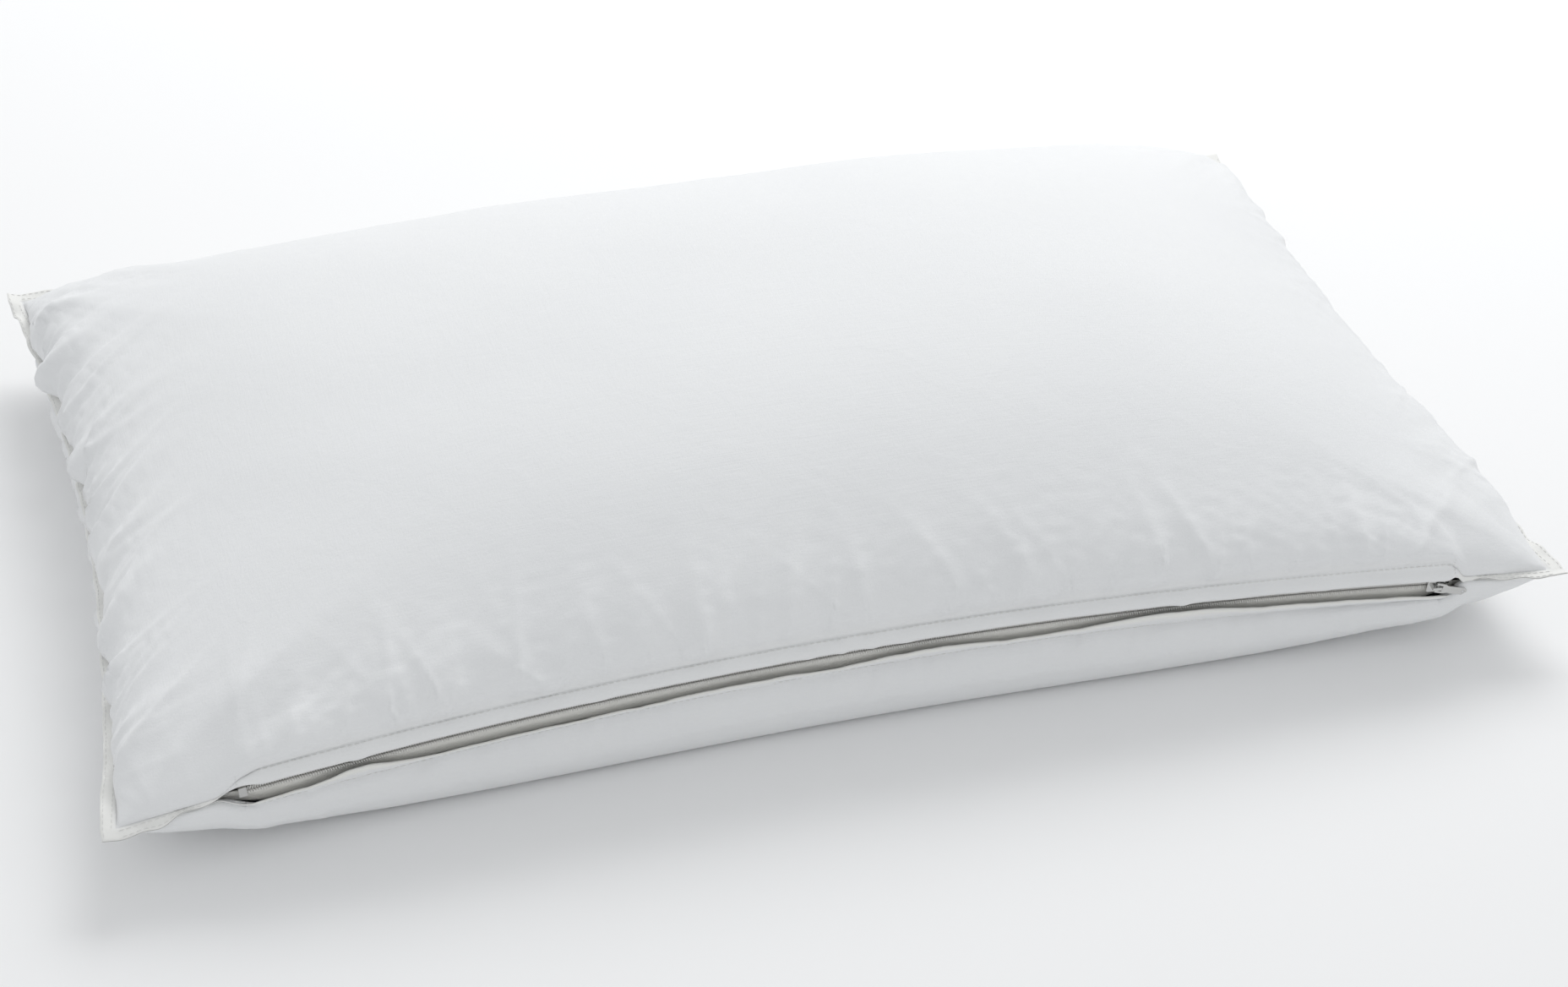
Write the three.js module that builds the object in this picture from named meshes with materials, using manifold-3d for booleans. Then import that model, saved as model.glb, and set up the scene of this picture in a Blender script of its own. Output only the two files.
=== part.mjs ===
// Bed pillow: a zipped cotton cover over an inner casing and its fill.
// Millimetres, +Z up. The origin is the middle of the base, on the surface it lies on.
// X runs along the long side, and the zip is on the -Y side.
import * as THREE from 'three';
import { mergeVertices } from 'three/addons/utils/BufferGeometryUtils.js';
import Module from 'manifold-3d';

const wasm = await Module();
wasm.setup();

// Overall size
const coverLength = 776; // flange tip to flange tip along X
const coverWidth = 480; // flange tip to flange tip along Y
const pillowHeight = 150;

// Cover
const clothThickness = 0.8;
const pieceGap = 0.3; // between pieces that touch on the real object
const flangeWidth = 8; // flat seam allowance outside the seam
const shortSideInset = 15; // how far the short sides pull in at their middles
const seamHeight = 51.5; // middle of the zip above the base
const seamRise = 8; // seam surface's rise from the long edges to the middle
const bottomDepth = 95; // how deep the lower panel would hang with nothing under it
const edgePower = 2.3; // squareness of the crown's outline
const crownPower = 0.55; // steepness of the crown at the seam
const cornerLift = { left: { front: -7, back: 3 }, right: { front: 6, back: -8 } };

// Inner layers, each inside the one before it
const casingInset = 14; // from the cover's seam to the casing's seam
const casingSink = 3; // below the cover's top
const casingFloor = 2.2; // its underside above the base
const fillInset = 5; // from the casing's seam to the fill's edge
const fillSink = 2.5; // below the casing's top
const fillFloor = 3.7;
const fillEdge = 2; // thickness left at the fill's edge

// Zip
const zipSetback = 60; // from each flange tip to the end of the opening
const zipSag = 18; // the zip's line rises this much above its chord
const zipLean = THREE.MathUtils.degToRad(35); // that rise leans inwards by this much
const sewnRun = 16; // beyond the opening, where the two panels come together
const flapClearance = 0.6; // flap's edge above the slider
const hemClearance = 0.8; // lower hem's edge below the slider
const lipDepth = 1.6; // edge strip of flap and hem that stands straight
const coilInner = 0.5; // coil half, from the middle of the chain
const coilOuter = 2.4;
const coilFront = 0.2; // coil half, inwards from the middle of the chain
const coilBack = 1.7;
const tapeInner = 1.2;
const tapeThickness = 0.6;
const tapeWidth = 10; // half of the zip, from the middle of the chain
const tapeBend = 4.5; // where the tape starts to lean inwards with the cloth
const tapeLean = 2.6; // how far it has leant at its outer edge
const tapeTail = 3; // beyond the opening at each end
const chainSetback = 12; // from the left bar tack to the chain's first tooth
const chainEndSetback = 7; // from the chain's last tooth to the right bar tack
const stopLength = 2.5;
const bottomStopLength = 4;

// Slider and pull
const sliderLength = 10;
const sliderFlare = 0.5; // the end that the open halves enter is wider by this on each side
const cheekClearance = 0.3; // between the coil and the slider's cheeks
const plateFront = 0.5; // outer plate's near face, outwards from the chain
const plateThickness = 1;
const innerPlateBack = 4.4; // inner plate's far face, inwards from the chain
const innerPlateThickness = 1.2;
const cheekThickness = 0.6;
const postHalfWidth = 0.2;
const postLength = 3.3;
const lugHalfWidth = 0.8;
const lugFootInner = 1.6; // half of the space under the lug
const lugFootOuter = 2.5;
const lugClearHeight = 1.95; // space under the lug, above the plate
const lugBar = 0.7;
const pullLength = 18; // from its hinge to its tip
const pullThickness = 0.8;
const pullHeight = 1.1; // hinge line above the plate
const ringHalfWidth = 2.9;
const ringArm = 1.2;
const ringLength = 3.4;
const tipHalfWidth = 2.2;
const tipHole = 1;
const pullDroop = THREE.MathUtils.degToRad(12); // the pull hangs a little below the chain's line

// Threads
const threadHalfWidth = 0.35;
const threadThickness = 0.4;
const outerRow = 0.3; // stitch rows, as shares of the flange from its outer edge
const innerRow = 0.58;
const flapRow = 1.55; // stitch rows on flap and hem, counted in grid rows
const hemRow = 1.4;
const tackInset = 3; // bar tacks, inside the ends of the opening
const tackGap = 0.55; // they bridge the cloth's curve

// Sizes that follow
const seamHalfLength = coverLength / 2 - flangeWidth;
const seamHalfWidth = coverWidth / 2 - flangeWidth;
const zipHalf = coverLength / 2 - zipSetback;
const zipRadius = zipHalf ** 2 / (2 * zipSag) + zipSag / 2;
const edgeSag = seamHalfLength ** 2 / (2 * zipRadius); // the same arc, carried on to the corners
const longSideInset = edgeSag * Math.cos(zipLean);
const seamDrop = edgeSag * Math.sin(zipLean);
const zipMiddleY = longSideInset - seamHalfWidth;
const coverStandoff = pieceGap / 2; // each panel's inner face from the shared seam surface
const coverFloor = coverStandoff + clothThickness;
const crownHeight = pillowHeight - seamHeight - seamRise - coverFloor;
const tailHalfWidth = coilOuter + cheekClearance + cheekThickness;
const shoulderHalfWidth = tailHalfWidth + sliderFlare;
const flapOverhang = shoulderHalfWidth + flapClearance;
const hemDrop = shoulderHalfWidth + hemClearance;
const tapeFront = coilBack + pieceGap;
const chainStart = chainSetback - zipHalf;
const chainEnd = zipHalf - chainEndSetback;
const sliderRest = chainEnd - sliderLength / 2;

// Each layer: insets from the cover's seam, drop of its crown, and its lowest level
const coverLayer = { inset: 0, sink: 0, floor: coverFloor };
const casingLayer = {
  inset: casingInset,
  sink: casingSink,
  floor: casingFloor + coverFloor,
};
const fillLayer = {
  inset: casingInset + fillInset,
  sink: casingSink + fillSink,
  floor: fillFloor,
};

const cloth = { color: 0xf2f3f3, roughness: 0.9, metalness: 0 };
const ticking = { color: 0xeeece4, roughness: 0.95, metalness: 0 };
const wadding = { color: 0xfafafa, roughness: 1, metalness: 0 };
const tapeCloth = { color: 0xcfc9bd, roughness: 0.9, metalness: 0 };
const coilPlastic = { color: 0xd8d3c8, roughness: 0.5, metalness: 0 };
const metal = { color: 0xc8cacd, roughness: 0.3, metalness: 1 };
const thread = { color: 0xf6f5f0, roughness: 0.8, metalness: 0 };

const pillow = new THREE.Group();

function addPiece(parent, name, geometry, finish) {
  const piece = new THREE.Mesh(geometry, new THREE.MeshStandardMaterial(finish));
  piece.name = name;
  parent.add(piece);
  return piece;
}

// 0 along the zip's opening, 1 where the two panels are sewn together
function sewnShare(x) {
  return THREE.MathUtils.smoothstep(Math.abs(x), zipHalf, zipHalf + sewnRun);
}

// 0 where the cover has no flange, along the zip, and 1 where it has its full width
function flangeShare(x) {
  return THREE.MathUtils.smoothstep(Math.abs(x), zipHalf + sewnRun / 2, zipHalf + 1.5 * sewnRun);
}

// Height of the surface that both panels share at the seam; u and v run from -1 to 1
function seamSurface(u, v) {
  const lifts = cornerLift[u < 0 ? 'left' : 'right'][v < 0 ? 'front' : 'back'];
  const lastStretch = (zipHalf + sewnRun / 2) / seamHalfLength;
  const atCorner = THREE.MathUtils.smoothstep(Math.abs(u), lastStretch, 1)
    * THREE.MathUtils.smoothstep(Math.abs(v), 0.5, 1);
  return seamHeight + seamRise * (1 - v * v) - seamDrop * u * u + lifts * atCorner;
}

// Crown of a panel: 0 at the seam, 1 in the middle
function crown(u, v) {
  const across = (1 - Math.abs(u) ** edgePower) * (1 - Math.abs(v) ** edgePower);
  return Math.max(across, 0) ** crownPower;
}

// A point of a layer's upper (side 1) or lower (side -1) face; x and y are distances of the
// flat pattern from its middle, and beyond the seam they are on the flange
function layerPoint(x, y, side, layer) {
  const halfLength = seamHalfLength - layer.inset;
  const halfWidth = seamHalfWidth - layer.inset;
  const u = THREE.MathUtils.clamp(x / halfLength, -1, 1);
  const v = THREE.MathUtils.clamp(y / halfWidth, -1, 1);
  const point = new THREE.Vector3(
    u * (halfLength - shortSideInset * (1 - v * v)),
    v * (halfWidth - longSideInset * (1 - u * u)),
    seamSurface(u, v),
  );
  if (side > 0) point.z += (crownHeight - layer.sink) * crown(u, v);
  else point.z = Math.max(layer.floor, point.z - (bottomDepth - layer.sink) * crown(u, v));
  return point;
}

// The cover's panels: layerPoint, opened along the zip and carried out over the flange
function coverPoint(x, y, side) {
  const point = layerPoint(x, y, side, coverLayer);
  const overX = Math.max(Math.abs(x) - seamHalfLength, 0) / flangeWidth;
  const overY = Math.max(Math.abs(y) - seamHalfWidth, 0) / flangeWidth;
  const open = 1 - sewnShare(x);
  const nearZip = THREE.MathUtils.smoothstep(-y, seamHalfWidth * 0.85, seamHalfWidth);
  const opening = (side > 0 ? flapOverhang : hemDrop) + lipDepth;
  point.z += side * opening * open * nearZip;
  point.x += Math.sign(x) * overX * flangeWidth;
  if (y > 0) {
    point.y += overY * flangeWidth;
  } else {
    point.y -= overY * flangeWidth * flangeShare(x);
    point.z -= side * overY * lipDepth * open;
  }
  return point;
}

// Distances from the middle to the edge, close together near the edge, mirrored
function gridLines(half, evenTo, evenCount, edgeDistances, flange) {
  const lines = [];
  for (let k = 0; k <= evenCount; k += 1) lines.push((evenTo * k) / evenCount);
  for (const distance of edgeDistances) lines.push(half - distance);
  lines.push(half);
  if (flange > 0) lines.push(half + flange);
  return [...lines.slice(1).reverse().map((value) => -value), ...lines];
}

function gridOf(xLines, yLines, pointAt) {
  return xLines.map((x) => yLines.map((y) => pointAt(x, y)));
}

// Unit normals of a grid of points, up for side 1 and down for side -1
function gridNormals(grid, side) {
  const last = [grid.length - 1, grid[0].length - 1];
  return grid.map((row, i) => row.map((_, j) => {
    const alongX = grid[Math.min(i + 1, last[0])][j].clone().sub(grid[Math.max(i - 1, 0)][j]);
    const alongY = grid[i][Math.min(j + 1, last[1])].clone().sub(grid[i][Math.max(j - 1, 0)]);
    return alongX.cross(alongY).normalize().multiplyScalar(side);
  }));
}

function offsetGrid(grid, normals, distance) {
  return grid.map((row, i) => row.map((p, j) => p.clone().addScaledVector(normals[i][j], distance)));
}

// A closed solid between two grids of points of the same size, the first one on the upper side
function slab(upper, lower) {
  const rows = upper.length;
  const columns = upper[0].length;
  const points = [...upper.flat(), ...lower.flat()];
  const top = (i, j) => i * columns + j;
  const bottom = (i, j) => rows * columns + i * columns + j;
  const faces = [];
  const quad = (a, b, c, d) => faces.push(a, b, c, a, c, d);
  for (let i = 0; i < rows - 1; i += 1) {
    for (let j = 0; j < columns - 1; j += 1) {
      quad(top(i, j), top(i + 1, j), top(i + 1, j + 1), top(i, j + 1));
      faces.push(bottom(i, j), bottom(i + 1, j + 1), bottom(i + 1, j));
      faces.push(bottom(i, j), bottom(i, j + 1), bottom(i + 1, j + 1));
    }
  }
  for (let i = 0; i < rows - 1; i += 1) {
    const end = columns - 1;
    quad(bottom(i, 0), bottom(i + 1, 0), top(i + 1, 0), top(i, 0));
    quad(top(i, end), top(i + 1, end), bottom(i + 1, end), bottom(i, end));
  }
  for (let j = 0; j < columns - 1; j += 1) {
    const end = rows - 1;
    quad(top(0, j), top(0, j + 1), bottom(0, j + 1), bottom(0, j));
    quad(bottom(end, j), bottom(end, j + 1), top(end, j + 1), top(end, j));
  }
  const geometry = new THREE.BufferGeometry().setFromPoints(points);
  geometry.setIndex(faces);
  return geometry;
}

// A thin cloth shell on the outside of a grid of points
function shell(grid, side) {
  const normals = gridNormals(grid, side);
  const inner = offsetGrid(grid, normals, coverStandoff);
  const outer = offsetGrid(grid, normals, coverStandoff + clothThickness);
  const geometry = side > 0 ? slab(outer, inner) : slab(inner, outer);
  return { geometry, outer, normals };
}

// Point and normal of a cloth face at grid position (p, q), which may lie between the lines
function spotOn(face, p, q) {
  const i = Math.min(Math.floor(p), face.outer.length - 2);
  const j = Math.min(Math.floor(q), face.outer[0].length - 2);
  const mix = (grid) => {
    const near = grid[i][j].clone().lerp(grid[i + 1][j], p - i);
    const far = grid[i][j + 1].clone().lerp(grid[i + 1][j + 1], p - i);
    return near.lerp(far, q - j);
  };
  return { point: mix(face.outer), normal: mix(face.normals).normalize() };
}

// A flat thread that lies a gap above a row of spots
function threadAlong(spots, gap = pieceGap) {
  const upper = [];
  const lower = [];
  spots.forEach(({ point, normal }, k) => {
    const ahead = spots[Math.min(k + 1, spots.length - 1)].point.clone();
    const along = ahead.sub(spots[Math.max(k - 1, 0)].point);
    const across = normal.clone().cross(along).normalize();
    const at = (height, side) => point.clone()
      .addScaledVector(normal, height)
      .addScaledVector(across, side * threadHalfWidth);
    upper.push([at(gap + threadThickness, -1), at(gap + threadThickness, 1)]);
    lower.push([at(gap, -1), at(gap, 1)]);
  });
  return slab(upper, lower);
}

const range = (from, to) => Array.from(
  { length: Math.abs(to - from) + 1 },
  (_, k) => from + k * Math.sign(to - from),
);

// Cover: its grid has lines at the ends of the zip and close to the seam
const evenAlong = 8; // grid cells from the middle to the end of the zip
const coverX = gridLines(
  seamHalfLength,
  zipHalf,
  evenAlong,
  [0.5, 1.5].map((share) => seamHalfLength - zipHalf - share * sewnRun).concat([18, 9, 3]),
  flangeWidth,
);
const coverY = gridLines(seamHalfWidth, seamHalfWidth - 36, 5, [18, 8, 2.5], flangeWidth);
const lastX = coverX.length - 1;
const lastY = coverY.length - 1;
const zipColumn = coverX.indexOf(-zipHalf);

const topFace = shell(gridOf(coverX, coverY, (x, y) => coverPoint(x, y, 1)), 1);
const bottomFace = shell(gridOf(coverX, coverY, (x, y) => coverPoint(x, y, -1)), -1);
addPiece(pillow, 'top_panel', topFace.geometry, cloth);
addPiece(pillow, 'bottom_panel', bottomFace.geometry, cloth);

// Inner casing: two panels that meet at their own seam
function layerGrid(layer, side, pointAt) {
  const halfLength = seamHalfLength - layer.inset;
  const halfWidth = seamHalfWidth - layer.inset;
  const xLines = gridLines(halfLength, halfLength - 34, 7, [16, 7, 2], 0);
  const yLines = gridLines(halfWidth, halfWidth - 34, 5, [16, 7, 2], 0);
  return gridOf(xLines, yLines, (x, y) => pointAt(layerPoint(x, y, side, layer)));
}

for (const [name, side] of [['inner_casing_top', 1], ['inner_casing_bottom', -1]]) {
  addPiece(pillow, name, shell(layerGrid(casingLayer, side, (p) => p), side).geometry, ticking);
}

// Fill: one body between the casing's panels
const thicken = (side) => (point) => point.setZ(point.z + (side * fillEdge) / 2);
const fillTop = layerGrid(fillLayer, 1, thicken(1));
const fillBottom = layerGrid(fillLayer, -1, (point) => {
  const level = point.z;
  return level > fillFloor ? point.setZ(Math.max(level - fillEdge / 2, fillFloor)) : point;
});
addPiece(pillow, 'fill', slab(fillTop, fillBottom), wadding);

// Threads: two rows round the flange from one end of the zip to the other
function flangeRow(share) {
  const ends = [...range(zipColumn - 2, 1), share];
  const left = ends.map((p) => [p, share]);
  const leftSide = range(1, lastY - 1).map((q) => [share, q]);
  const back = range(1, lastX - 1).map((p) => [p, lastY - share]);
  const rightSide = range(lastY - 1, 1).map((q) => [lastX - share, q]);
  const right = [...ends].reverse().map((p) => [lastX - p, share]);
  return [
    ...left, ...leftSide, [share, lastY - share], ...back, [lastX - share, lastY - share],
    ...rightSide, ...right,
  ].map(([p, q]) => spotOn(topFace, p, q));
}

addPiece(pillow, 'edge_stitch_outer', threadAlong(flangeRow(outerRow)), thread);
addPiece(pillow, 'edge_stitch_inner', threadAlong(flangeRow(innerRow)), thread);

const zipColumns = range(zipColumn, lastX - zipColumn);
const rowOn = (face, row) => zipColumns.map((p) => spotOn(face, p, row));
addPiece(pillow, 'flap_topstitch', threadAlong(rowOn(topFace, flapRow)), thread);
addPiece(pillow, 'hem_topstitch', threadAlong(rowOn(bottomFace, hemRow)), thread);

// Bar tacks: thread down across both edges at each end of the opening
const tackColumn = zipColumn + (tackInset * evenAlong) / zipHalf;
for (const [name, p] of [
  ['bar_tack_left', tackColumn],
  ['bar_tack_right', lastX - tackColumn],
]) {
  const spots = [
    spotOn(topFace, p, flapRow - 0.1), spotOn(topFace, p, 1), spotOn(topFace, p, 0),
    spotOn(bottomFace, p, 0), spotOn(bottomFace, p, hemRow - 0.1),
  ];
  addPiece(pillow, name, threadAlong(spots, tackGap), thread);
}

// Zip: everything on it is turned about the far centre of its arc. In this group X is along
// the chord, Y points from the centre to the middle of the arc, and Z is the arc's axis.
const zip = new THREE.Group();
zip.position.set(
  0,
  zipMiddleY - zipRadius * Math.cos(zipLean),
  seamHeight - zipRadius * Math.sin(zipLean),
);
zip.rotation.x = zipLean;
pillow.add(zip);

// Place in the zip's group of a point at x along the zip, inwards and up from the chain
function onArc(x, inwards, up) {
  const reach = zipRadius + inwards * Math.cos(zipLean) + up * Math.sin(zipLean);
  const angle = Math.asin(x / zipRadius);
  const level = up * Math.cos(zipLean) - inwards * Math.sin(zipLean);
  return new THREE.Vector3(reach * Math.sin(angle), reach * Math.cos(angle), level);
}

// A strip of constant section, [inwards, up] points, carried along the arc
function zipStrip(section, from, to) {
  const outline = new THREE.Shape(section.map(([inwards, up]) => new THREE.Vector2(inwards, up)));
  const steps = Math.max(1, Math.round((to - from) / 22));
  const straight = new THREE.ExtrudeGeometry(outline, { depth: 1, steps, bevelEnabled: false });
  const place = straight.attributes.position;
  for (let k = 0; k < place.count; k += 1) {
    const x = from + (to - from) * place.getZ(k);
    const point = onArc(x, place.getX(k), place.getY(k));
    place.setXYZ(k, point.x, point.y, point.z);
  }
  return straight;
}

const upDown = (section, side) => section.map(([inwards, up]) => [inwards, side * up]);
const tapeSection = [
  [tapeFront, tapeInner],
  [tapeFront, tapeBend],
  [tapeFront + tapeLean, tapeWidth],
  [tapeFront + tapeLean + tapeThickness, tapeWidth],
  [tapeFront + tapeThickness, tapeBend],
  [tapeFront + tapeThickness, tapeInner],
];
const coilSection = [
  [coilFront, coilInner], [coilFront, coilOuter], [coilBack, coilOuter], [coilBack, coilInner],
];
const stopSection = [
  [coilFront - 0.3, coilInner], [coilFront - 0.3, coilOuter + 0.4],
  [coilBack, coilOuter + 0.4], [coilBack, coilInner],
];
const tapeReach = zipHalf + tapeTail;

for (const [half, side] of [['upper', 1], ['lower', -1]]) {
  const tape = zipStrip(upDown(tapeSection, side), -tapeReach, tapeReach);
  addPiece(zip, `zip_tape_${half}`, tape, tapeCloth);
  addPiece(zip, `zip_coil_${half}`, zipStrip(upDown(coilSection, side), chainStart, chainEnd), coilPlastic);
  const stopFrom = chainEnd + pieceGap;
  const stop = zipStrip(upDown(stopSection, side), stopFrom, stopFrom + stopLength);
  addPiece(zip, `top_stop_${half}`, stop, metal);
}

const stopOuter = coilOuter + 0.4;
const bottomStop = zipStrip(
  [
    [coilFront - 0.4, -stopOuter], [coilFront - 0.4, stopOuter],
    [coilBack, stopOuter], [coilBack, -stopOuter],
  ],
  chainStart - pieceGap - bottomStopLength,
  chainStart - pieceGap,
);
addPiece(zip, 'bottom_stop', bottomStop, metal);

// Slider: in its own frame X is along the chain, Y up and Z outwards, from the chain's middle
const carriage = new THREE.Group();
carriage.rotation.z = -Math.asin(sliderRest / zipRadius);
zip.add(carriage);
const slider = new THREE.Group();
slider.position.y = zipRadius;
slider.rotation.x = Math.PI / 2 - zipLean;
carriage.add(slider);

function extruded(outline, from, to) {
  const options = { depth: to - from, bevelEnabled: false, curveSegments: 6 };
  return new THREE.ExtrudeGeometry(outline, options).translate(0, 0, from);
}

function block(x, y, z) {
  const size = [x, y, z].map(([low, high]) => high - low);
  const middle = [x, y, z].map(([low, high]) => (low + high) / 2);
  return new THREE.BoxGeometry(...size).translate(...middle);
}

function solid(geometry) {
  const bare = geometry.clone();
  bare.deleteAttribute('normal');
  bare.deleteAttribute('uv');
  const merged = mergeVertices(bare);
  const mesh = new wasm.Mesh({
    numProp: 3,
    vertProperties: new Float32Array(merged.attributes.position.array),
    triVerts: new Uint32Array(merged.index.array),
  });
  return new wasm.Manifold(mesh);
}

function joined(geometries) {
  const mesh = geometries.map(solid).reduce((sum, next) => sum.add(next)).getMesh();
  const geometry = new THREE.BufferGeometry();
  geometry.setAttribute('position', new THREE.BufferAttribute(mesh.vertProperties, 3));
  geometry.setIndex(new THREE.BufferAttribute(mesh.triVerts, 1));
  return geometry;
}

// Plate outline: rounded shoulders at +X, narrower tail at -X
function plateOutline() {
  const half = sliderLength / 2;
  const outline = new THREE.Shape();
  outline.moveTo(-half, -tailHalfWidth + 1);
  outline.quadraticCurveTo(-half, -tailHalfWidth, -half + 1, -tailHalfWidth);
  outline.lineTo(0, -tailHalfWidth);
  outline.lineTo(1.5, -shoulderHalfWidth);
  outline.lineTo(half - 1.5, -shoulderHalfWidth);
  outline.quadraticCurveTo(half, -shoulderHalfWidth, half, -shoulderHalfWidth + 2);
  outline.lineTo(half, shoulderHalfWidth - 2);
  outline.quadraticCurveTo(half, shoulderHalfWidth, half - 1.5, shoulderHalfWidth);
  outline.lineTo(1.5, shoulderHalfWidth);
  outline.lineTo(0, tailHalfWidth);
  outline.lineTo(-half + 1, tailHalfWidth);
  outline.quadraticCurveTo(-half, tailHalfWidth, -half, tailHalfWidth - 1);
  return outline;
}

const plateTop = plateFront + plateThickness;
const innerPlateFront = innerPlateBack - innerPlateThickness;
const sink = 0.2; // pieces of the slider run into each other by this much before they join

function sliderBody() {
  const half = sliderLength / 2;
  const parts = [
    extruded(plateOutline(), plateFront, plateTop),
    extruded(plateOutline(), -innerPlateBack, -innerPlateFront),
    block(
      [half - postLength - 0.4, half - 0.4],
      [-postHalfWidth, postHalfWidth],
      [-innerPlateFront - sink, plateFront + sink],
    ),
    block(
      [-lugFootOuter, lugFootOuter],
      [-lugHalfWidth, lugHalfWidth],
      [plateTop + lugClearHeight, plateTop + lugClearHeight + lugBar],
    ),
  ];
  for (const end of [-1, 1]) {
    const foot = [end * lugFootInner, end * lugFootOuter].sort((a, b) => a - b);
    parts.push(block(
      foot,
      [-lugHalfWidth, lugHalfWidth],
      [plateTop - sink, plateTop + lugClearHeight + sink],
    ));
    const cheek = [end * (tailHalfWidth - cheekThickness), end * tailHalfWidth];
    parts.push(block(
      [-half + 1, 1.5],
      cheek.sort((a, b) => a - b),
      [-coilBack + 0.1, plateFront + sink],
    ));
  }
  return joined(parts);
}

addPiece(slider, 'slider_body', sliderBody(), metal);

// Pull: a flat tab with a square ring round the lug; its own Y axis is its hinge line
function pullOutline() {
  const bar = pullThickness / 2;
  const outline = new THREE.Shape();
  outline.moveTo(-bar, -ringHalfWidth);
  outline.lineTo(ringLength + ringArm, -ringHalfWidth);
  outline.lineTo(ringLength + ringArm + 2, -tipHalfWidth);
  outline.lineTo(pullLength - tipHalfWidth, -tipHalfWidth);
  outline.absarc(pullLength - tipHalfWidth, 0, tipHalfWidth, -Math.PI / 2, Math.PI / 2, false);
  outline.lineTo(ringLength + ringArm + 2, tipHalfWidth);
  outline.lineTo(ringLength + ringArm, ringHalfWidth);
  outline.lineTo(-bar, ringHalfWidth);
  const opening = new THREE.Path();
  opening.moveTo(bar, -ringHalfWidth + ringArm);
  opening.lineTo(bar, ringHalfWidth - ringArm);
  opening.lineTo(ringLength, ringHalfWidth - ringArm);
  opening.lineTo(ringLength, -ringHalfWidth + ringArm);
  const hole = new THREE.Path();
  hole.absarc(pullLength - tipHalfWidth, 0, tipHole, 0, 2 * Math.PI, true);
  outline.holes.push(opening, hole);
  return outline;
}

const pull = addPiece(
  slider,
  'pull_tab',
  extruded(pullOutline(), -pullThickness / 2, pullThickness / 2),
  metal,
);
pull.position.z = plateTop + pullHeight;
pull.rotation.z = -pullDroop;

export default pillow;
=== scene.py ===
import bpy
import numpy as np
from mathutils import Matrix, Vector


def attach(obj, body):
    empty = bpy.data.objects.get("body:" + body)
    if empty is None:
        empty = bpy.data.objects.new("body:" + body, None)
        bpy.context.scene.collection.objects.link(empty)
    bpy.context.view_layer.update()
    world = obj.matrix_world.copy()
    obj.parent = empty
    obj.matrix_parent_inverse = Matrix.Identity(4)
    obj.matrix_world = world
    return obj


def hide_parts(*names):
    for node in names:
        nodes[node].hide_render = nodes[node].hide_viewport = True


# A bed pillow: two cotton panels, a zip along the front seam, a ticking casing and its filling.
# Metres throughout. X runs along the zip, Y from front to back, Z up.

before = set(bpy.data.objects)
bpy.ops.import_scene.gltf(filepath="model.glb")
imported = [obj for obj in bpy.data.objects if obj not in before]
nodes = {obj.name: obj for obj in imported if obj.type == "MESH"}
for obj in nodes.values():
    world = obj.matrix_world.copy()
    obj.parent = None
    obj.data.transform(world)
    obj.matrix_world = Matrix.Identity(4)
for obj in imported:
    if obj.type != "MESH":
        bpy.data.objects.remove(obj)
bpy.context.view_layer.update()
scene = bpy.context.scene

pillowSize = {
    "seamHalfLength": 0.380,   # middle to the seam at the short ends
    "seamHalfWidth": 0.232,    # middle to the seam at the long sides, at the corners
    "height": 0.1480,          # top of the crown before the cloth settles
    "seamHeight": 0.0515,      # the zip at the middle of the pillow
    "seamRise": 0.008,         # how much higher the seam runs between front and back
    "endInset": 0.0195,        # how far the short ends pull in between their corners
    "backInset": 0.0295,       # the same for the back
    "depth": 0.125,            # how far the underside would hang without a floor
    "endPower": 2.75,          # flatness of the crown along its length
    "sidePower": 2.55,         # flatness of the crown across its width
    "crownPower": 0.53,        # steepness next to the seam
    "cornerLift": (0.000, 0.007, 0.006, -0.009),  # front left, back left, front right, back right
    "floorGap": 0.0008,
    "pushAbove": 0.0065,       # how far the cloth stands out past the seam above it
    "pushBelow": 0.0150,       # and below it
}

zipLine = {
    "lean": np.radians(35.0),  # tilt of the plane that the zip's arc lies in
    "sag": 0.018,              # how far the arc drops over the zip's length
    "halfLength": 0.328,       # middle to the end of the zip opening
    "middleY": -0.21227,
    "closing": (0.026, 0.013), # the panels draw together over this length at the left and right end
    "pastEnd": 0.005,          # and this far past the zip's end they are together
    "flapSeam": (0.0012, 0.0112),   # stitch line above the zip: inward and up from the middle line
    "hemSeam": (0.0002, -0.0104),   # and below it
}
zipLine["radius"] = zipLine["halfLength"] ** 2 / (2 * zipLine["sag"]) + zipLine["sag"] / 2


def chainPoint(x, inward, up):
    # a point beside the zip's middle line: the line is an arc of the given radius in a leaning
    # plane, inward adds to the radius and up stands square to both
    radius, lean = zipLine["radius"], zipLine["lean"]
    reach = radius + inward * np.cos(lean) + up * np.sin(lean)
    level = up * np.cos(lean) - inward * np.sin(lean)
    share = x / radius
    along = reach * np.sqrt(1 - share ** 2)
    y = zipLine["middleY"] - radius * np.cos(lean) + along * np.cos(lean) - level * np.sin(lean)
    z = pillowSize["seamHeight"] - radius * np.sin(lean) + along * np.sin(lean) + level * np.cos(lean)
    return np.stack(np.broadcast_arrays(reach * share, y, z), -1)


def smoothStep(value):
    # 3t^2 - 2t^3 on t held between 0 and 1
    t = np.clip(value, 0, 1)
    return t * t * (3 - 2 * t)


def unit(vectors):
    # each vector divided by its own length
    return vectors / np.maximum(np.linalg.norm(vectors, axis=-1, keepdims=True), 1e-12)


def arcLength(path):
    # distance gone along a path of points, at each point
    return np.concatenate([[0], np.cumsum(np.linalg.norm(np.diff(path, axis=0), axis=1))])


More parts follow.
